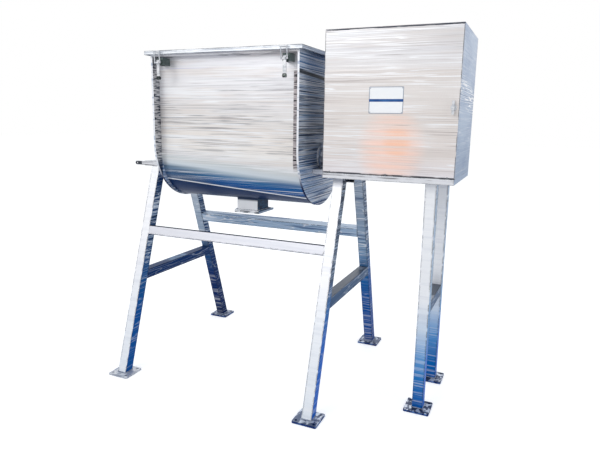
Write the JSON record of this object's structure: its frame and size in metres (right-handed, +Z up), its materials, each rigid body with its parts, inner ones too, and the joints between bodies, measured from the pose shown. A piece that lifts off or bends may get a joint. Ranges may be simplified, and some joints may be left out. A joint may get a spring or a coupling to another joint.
{
  "type": "mass mixer",
  "caption": "Horizontal ribbon mixer: lidded U-trough with bottom slide gate on splayed tube legs, and a belt drive in a boxed cabinet at one end.",
  "frame": {"origin": "middle of the bounding box's footprint, on the floor", "axes": "+X along the shaft towards the drive cabinet, +Y to the rear (front of the machine faces -Y), +Z up"},
  "size_m": [1.759, 1.1, 1.748],
  "materials": {
    "frame_steel": "satin square tube and plate, bluish where it turns from the light",
    "trough_steel": "polished stainless sheet, pale grey",
    "panel_steel": "polished stainless sheet under a milky protective film",
    "bright_steel": "turned and ground steel",
    "fasteners": "zinc-plated bolts and nuts",
    "seal_rubber": "soft black rubber, as seal strip and belts",
    "packing": "greased braided packing",
    "dark_hardware": "dark green-grey paint",
    "cast_housing": "painted casting",
    "drive_paint": "blue-grey enamel",
    "black_plastic": "black moulded plastic"
  },
  "bodies": {
    "stand": {"leg_left_front": "frame_steel", "leg_left_rear": "frame_steel", "leg_mid_front": "frame_steel", "leg_mid_rear": "frame_steel", "drive_legs": "frame_steel", "foot_plates": "frame_steel", "rail_front": "frame_steel", "rail_rear": "frame_steel", "brace_left": "frame_steel", "brace_mid": "frame_steel", "brace_drive": "frame_steel", "bearing_shelf": "frame_steel", "drive_deck": "frame_steel", "cross_tube": "frame_steel", "trough_bracket": "frame_steel", "trough_shell": "trough_steel", "end_plate_left": "trough_steel", "end_plate_right": "trough_steel", "rim_angles": "trough_steel", "lid_gasket": "seal_rubber", "discharge_chute": "trough_steel", "gate_frame": "trough_steel", "gate_bolts": "fasteners", "seal_housings": "trough_steel", "seal_packing": "packing", "seal_glands": "bright_steel", "seal_bolts": "fasteners", "lid_hinge_brackets": "trough_steel", "lid_hinge_pins": "bright_steel", "latch_bases": "dark_hardware", "bearing_housings": "cast_housing", "bearing_outer_rings": "bright_steel", "hold_down_bolts": "fasteners", "drive_belts": "seal_rubber", "gearbox": "drive_paint", "motor": "drive_paint", "motor_platform": "panel_steel", "platform_posts": "panel_steel", "cover_sides": "panel_steel", "cover_top": "panel_steel", "rear_panel": "panel_steel", "cable_gland": "black_plastic"},
    "agitator": {"agitator_shaft": "bright_steel", "agitator_arms": "bright_steel", "outer_ribbon_left": "bright_steel", "outer_ribbon_right": "bright_steel", "inner_ribbons": "bright_steel", "bearing_inner_rings": "bright_steel", "shaft_pulley": "cast_housing"},
    "output_shaft": {"gearbox_shaft": "bright_steel", "drive_pulley": "cast_housing"},
    "lid": {"lid": "panel_steel", "latch_keepers": "bright_steel"},
    "door": {"door": "panel_steel"},
    "door_latch": {"door_latch": "bright_steel"},
    "slide_gate": {"slide_gate": "bright_steel"},
    "lever_left": {"latch_lever_left": "bright_steel"},
    "lever_right": {"latch_lever_right": "bright_steel"},
    "loop_left": {"latch_loop_left": "bright_steel"},
    "loop_right": {"latch_loop_right": "bright_steel"}
  },
  "joints": [
    {"name": "agitator_spin", "type": "hinge", "parent": "stand", "child": "agitator", "pos_m": [0, 0, 1.1732], "axis": [1, 0, 0], "continuous": true},
    {"name": "output_spin", "type": "hinge", "parent": "stand", "child": "output_shaft", "pos_m": [0.4315, 0, 1.4582], "axis": [1, 0, 0], "continuous": true},
    {"name": "lid_hinge", "type": "hinge", "parent": "stand", "child": "lid", "pos_m": [-0.2315, 0.327, 1.672], "axis": [-1, 0, 0], "range_deg": [0, 110]},
    {"name": "door_hinge", "type": "hinge", "parent": "stand", "child": "door", "pos_m": [0.2905, -0.2365, 1.43], "axis": [0, 0, -1], "range_deg": [0, 105]},
    {"name": "door_latch_turn", "type": "hinge", "parent": "door", "child": "door_latch", "pos_m": [0.8575, -0.245, 1.41304], "axis": [0, 1, 0], "range_deg": [0, 90]},
    {"name": "gate_slide", "type": "slide", "parent": "stand", "child": "slide_gate", "axis": [0, 1, 0], "range_m": [0, 0.128]},
    {"name": "lever_left_swing", "type": "hinge", "parent": "stand", "child": "lever_left", "pos_m": [-0.5813, -0.313, 1.6305], "axis": [-1, 0, 0], "range_deg": [0, 110]},
    {"name": "loop_left_swing", "type": "hinge", "parent": "lever_left", "child": "loop_left", "pos_m": [-0.5813, -0.323, 1.6225], "axis": [-1, 0, 0], "range_deg": [-120, 5]},
    {"name": "lever_right_swing", "type": "hinge", "parent": "stand", "child": "lever_right", "pos_m": [0.1183, -0.313, 1.6305], "axis": [-1, 0, 0], "range_deg": [0, 110]},
    {"name": "loop_right_swing", "type": "hinge", "parent": "lever_right", "child": "loop_right", "pos_m": [0.1183, -0.323, 1.6225], "axis": [-1, 0, 0], "range_deg": [-120, 5]}
  ],
  "couplings": [
    {"joint": "output_spin", "follows": "agitator_spin", "ratio": 1.5},
    {"joint": "loop_left_swing", "follows": "lever_left_swing", "ratio": -1.05},
    {"joint": "loop_right_swing", "follows": "lever_right_swing", "ratio": -1.05}
  ]
}
